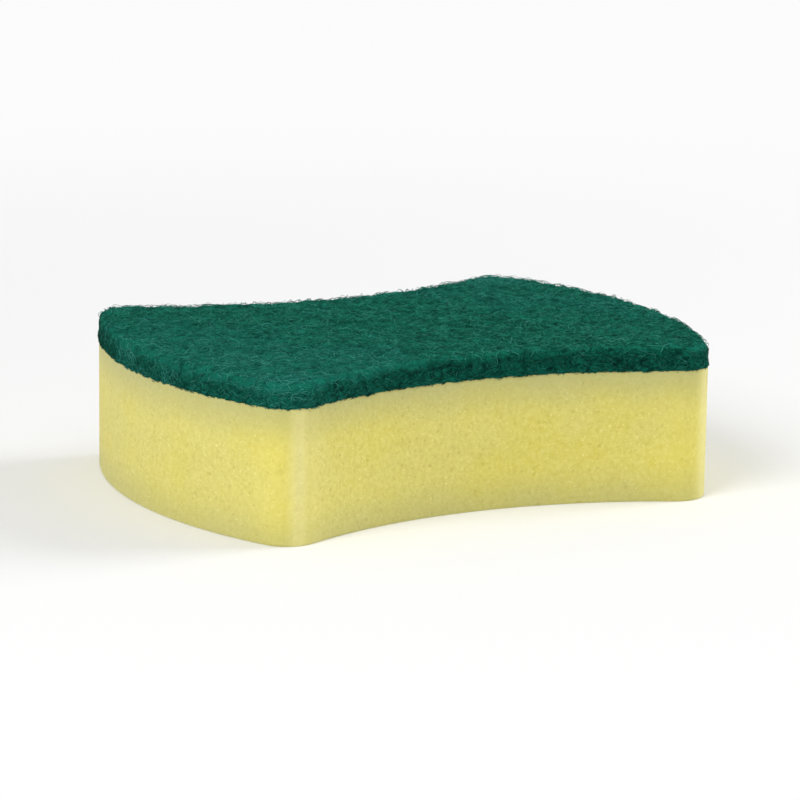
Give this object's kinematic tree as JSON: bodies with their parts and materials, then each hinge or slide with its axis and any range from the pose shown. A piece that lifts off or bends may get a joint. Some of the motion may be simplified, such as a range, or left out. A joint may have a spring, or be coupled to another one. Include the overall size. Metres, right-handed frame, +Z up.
{
  "type": "cleaning sponge",
  "caption": "Waisted cleaning sponge: yellow open-cell foam block with a green non-woven scouring pad bonded over its top; bulging ends and curved-in sides to grip.",
  "frame": {"origin": "middle of the foam block's flat underside, which is also the bottom centre of the whole sponge", "axes": "+X along the sponge, from one bulging end to the other; +Y across it, from one waisted side to the other; +Z up, from the foam to the scouring pad"},
  "size_m": [0.107, 0.0796, 0.0295],
  "materials": {
    "foam": "soft open-cell polyurethane foam, matt, pale yellow, fine pores on every cut face",
    "scouring_fibre": "stiff non-woven fibre web, deep green, matt with fine pale fibre tips"
  },
  "bodies": {
    "root": {"foam_block": "foam", "scouring_pad": "scouring_fibre"}
  },
  "joints": []
}
